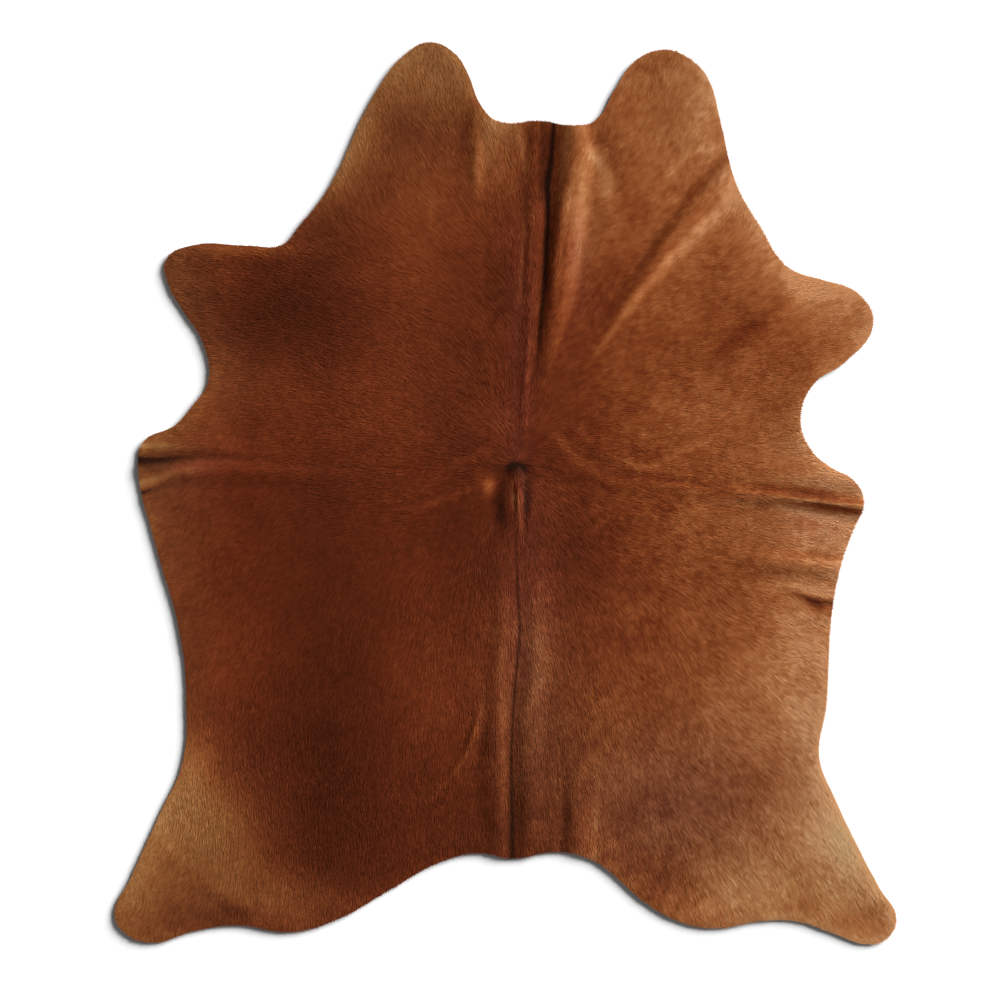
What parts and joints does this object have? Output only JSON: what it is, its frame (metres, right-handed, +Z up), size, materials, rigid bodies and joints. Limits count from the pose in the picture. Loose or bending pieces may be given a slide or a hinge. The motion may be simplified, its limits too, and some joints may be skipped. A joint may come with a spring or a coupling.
{
  "type": "hair-on cowhide rug",
  "caption": "Whole hair-on cowhide lying flat: an uneven outline with neck lobes and leg flaps, and soft fold ridges along the spine, across the middle and at the flanks.",
  "frame": {"origin": "under the middle of the hide's bounding box, on the surface that it lies on", "axes": "+Y from the hind end to the neck, +X to the right flank seen from above with the neck up, +Z up out of the hair side"},
  "size_m": [1.82, 2.0992, 0.0165],
  "materials": {
    "hide": "short glossy brown hair on the upper side, plain tanned leather on the under side"
  },
  "bodies": {
    "root": {"hide": "hide"}
  },
  "joints": []
}
